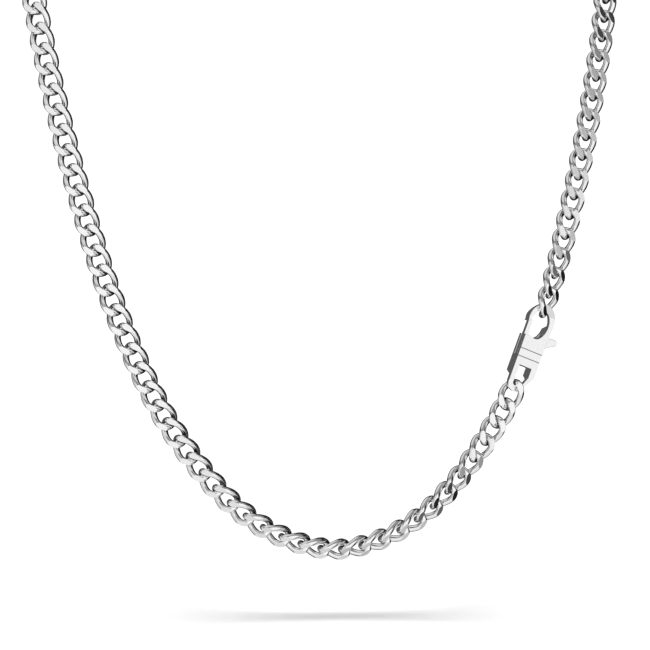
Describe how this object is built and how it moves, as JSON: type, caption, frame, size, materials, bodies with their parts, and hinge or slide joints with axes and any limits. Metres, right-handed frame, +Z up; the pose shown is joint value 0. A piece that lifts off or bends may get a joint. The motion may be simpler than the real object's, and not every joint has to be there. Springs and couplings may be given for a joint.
{
  "type": "curb chain necklace",
  "caption": "Flat curb chain necklace in its hanging loop, with a flat lobster clasp whose sprung lever opens the hook on one strand.",
  "frame": {"origin": "at the nape, on the inner face of the chain, where the necklace rests on the back of the neck", "axes": "+Z up, -Y towards the front of the wearer, +X towards the strand with the clasp, which is the right one as seen from the front"},
  "size_m": [0.1249, 0.0891, 0.155],
  "materials": {
    "chain_steel": "polished stainless steel, faces ground flat and buffed",
    "clasp_steel": "polished stainless steel with a finely brushed flat face",
    "lever_steel": "satin stainless steel"
  },
  "bodies": {
    "necklace": {"chain_left": "chain_steel", "chain_right": "chain_steel", "clasp_body": "clasp_steel", "clasp_pin": "lever_steel"},
    "lever": {"clasp_lever": "lever_steel"}
  },
  "joints": [
    {"name": "lever_hinge", "type": "hinge", "parent": "necklace", "child": "lever", "pos_m": [0.03921, -0.07828, -0.11182], "axis": [-0.2449, 0.968, -0.0544], "range_deg": [0, 20], "stiffness_Nm_per_rad": 0.02, "springref_deg": -14.32}
  ]
}
